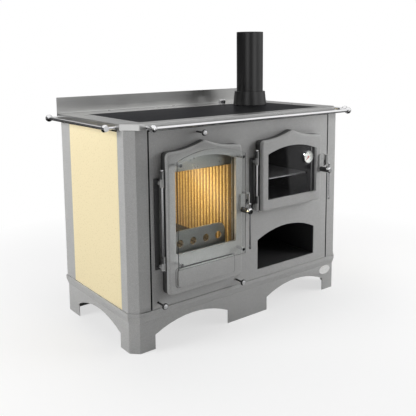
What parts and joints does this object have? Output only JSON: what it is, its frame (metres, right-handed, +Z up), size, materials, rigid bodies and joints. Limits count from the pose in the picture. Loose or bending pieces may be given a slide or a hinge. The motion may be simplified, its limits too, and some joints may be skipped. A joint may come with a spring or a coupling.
{
  "type": "wood-burning cookstove",
  "caption": "Freestanding wood-burning range cooker with a glazed firebox door, glazed oven door, open log niche, steel hob, towel rails and a flue pipe on an arched plinth.",
  "frame": {"origin": "centre of the footprint on the floor, midway between the door handles and the back of the hob", "axes": "+X to the right of someone facing the stove, +Y to the back, +Z up"},
  "size_m": [1.2498, 0.678, 1.207],
  "materials": {
    "grey_paint": "fine-speckled matt heat-resistant grey paint",
    "cream_enamel": "smooth glossy vitreous enamel",
    "stainless": "brushed along its length",
    "hob_steel": "ground and polished, dark",
    "flue_black": "satin black stove paint",
    "chrome": "bright chrome plate",
    "cast_iron": "raw grey casting",
    "dark_steel": "matt black",
    "galvanised": "dull zinc-coated sheet",
    "vermiculite": "pressed vermiculite board, dry and matt",
    "glass": "clear ceramic glass",
    "oven_glass": "tinted oven glass",
    "sealing_rope": "woven glass-fibre rope",
    "oven_enamel": "black vitreous enamel",
    "needle_red": "red lacquer"
  },
  "bodies": {
    "stove": {"plinth_front": "grey_paint", "plinth_surround": "grey_paint", "plinth_cornice": "grey_paint", "base_plate": "galvanised", "post_left": "grey_paint", "post_right": "grey_paint", "side_panel_left": "cream_enamel", "side_panel_right": "cream_enamel", "rear_casing": "grey_paint", "front_panel": "grey_paint", "hob_frame": "stainless", "hob_plate": "hob_steel", "rear_upstand": "stainless", "flue_collar": "flue_black", "flue_pipe": "flue_black", "rail_front": "chrome", "rail_left": "chrome", "rail_right": "chrome", "firebox_shell": "dark_steel", "lining_left": "vermiculite", "lining_right": "vermiculite", "lining_back": "vermiculite", "grate": "cast_iron", "ash_pan": "galvanised", "ember_guard": "stainless", "air_wash_plate": "cast_iron", "baffle": "cast_iron", "smoke_channel": "dark_steel", "oven_box": "oven_enamel", "oven_rack": "chrome", "wood_niche": "dark_steel", "fire_hinge_mount": "grey_paint", "fire_keeper": "grey_paint", "oven_hinge_mount": "grey_paint", "oven_keeper": "grey_paint"},
    "fire_door": {"fire_door_frame": "grey_paint", "fire_door_glass": "glass", "fire_door_seal": "sealing_rope", "fire_hinge_rod": "chrome", "fire_latch_case": "grey_paint", "outer_pane": "glass", "pane_pin_lower_left": "chrome", "pane_pin_upper_left": "chrome", "pane_pin_lower_right": "chrome", "pane_pin_upper_right": "chrome"},
    "fire_handle": {"fire_spindle": "dark_steel", "fire_lever": "chrome"},
    "oven_door": {"oven_door_frame": "grey_paint", "oven_door_glass": "oven_glass", "oven_door_seal": "sealing_rope", "oven_hinge_rod": "chrome", "oven_latch_case": "grey_paint", "thermometer": "chrome"},
    "oven_handle": {"oven_spindle": "dark_steel", "oven_lever": "chrome"},
    "needle": {"thermometer_needle": "needle_red"},
    "bypass_damper": {"bypass_damper_pull": "chrome"},
    "primary_air": {"primary_air_pull": "chrome"},
    "secondary_air": {"secondary_air_pull": "chrome"},
    "damper_knob": {"hob_knob": "chrome"}
  },
  "joints": [
    {"name": "fire_door_hinge", "type": "hinge", "parent": "stove", "child": "fire_door", "pos_m": [-0.437, -0.259, 0.211], "axis": [0, 0, -1], "range_deg": [0, 110]},
    {"name": "fire_handle_turn", "type": "hinge", "parent": "fire_door", "child": "fire_handle", "pos_m": [-0.075, -0.279, 0.489], "axis": [0, -1, 0], "range_deg": [0, 40]},
    {"name": "oven_door_hinge", "type": "hinge", "parent": "stove", "child": "oven_door", "pos_m": [0.028, -0.259, 0.455], "axis": [0, 0, -1], "range_deg": [0, 110]},
    {"name": "oven_handle_turn", "type": "hinge", "parent": "oven_door", "child": "oven_handle", "pos_m": [0.385, -0.279, 0.597], "axis": [0, -1, 0], "range_deg": [0, 40]},
    {"name": "thermometer_turn", "type": "hinge", "parent": "oven_door", "child": "needle", "pos_m": [0.316, -0.273, 0.656], "axis": [0, 1, 0], "range_deg": [0, 270]},
    {"name": "bypass_damper_slide", "type": "slide", "parent": "stove", "child": "bypass_damper", "axis": [0, -1, 0], "range_m": [0, 0.04]},
    {"name": "primary_air_slide", "type": "slide", "parent": "stove", "child": "primary_air", "axis": [0, -1, 0], "range_m": [0, 0.04]},
    {"name": "secondary_air_slide", "type": "slide", "parent": "stove", "child": "secondary_air", "axis": [0, -1, 0], "range_m": [0, 0.04]},
    {"name": "damper_knob_turn", "type": "hinge", "parent": "stove", "child": "damper_knob", "pos_m": [0.26, 0.253, 0.86], "axis": [0, 0, 1], "range_deg": [0, 90]}
  ]
}
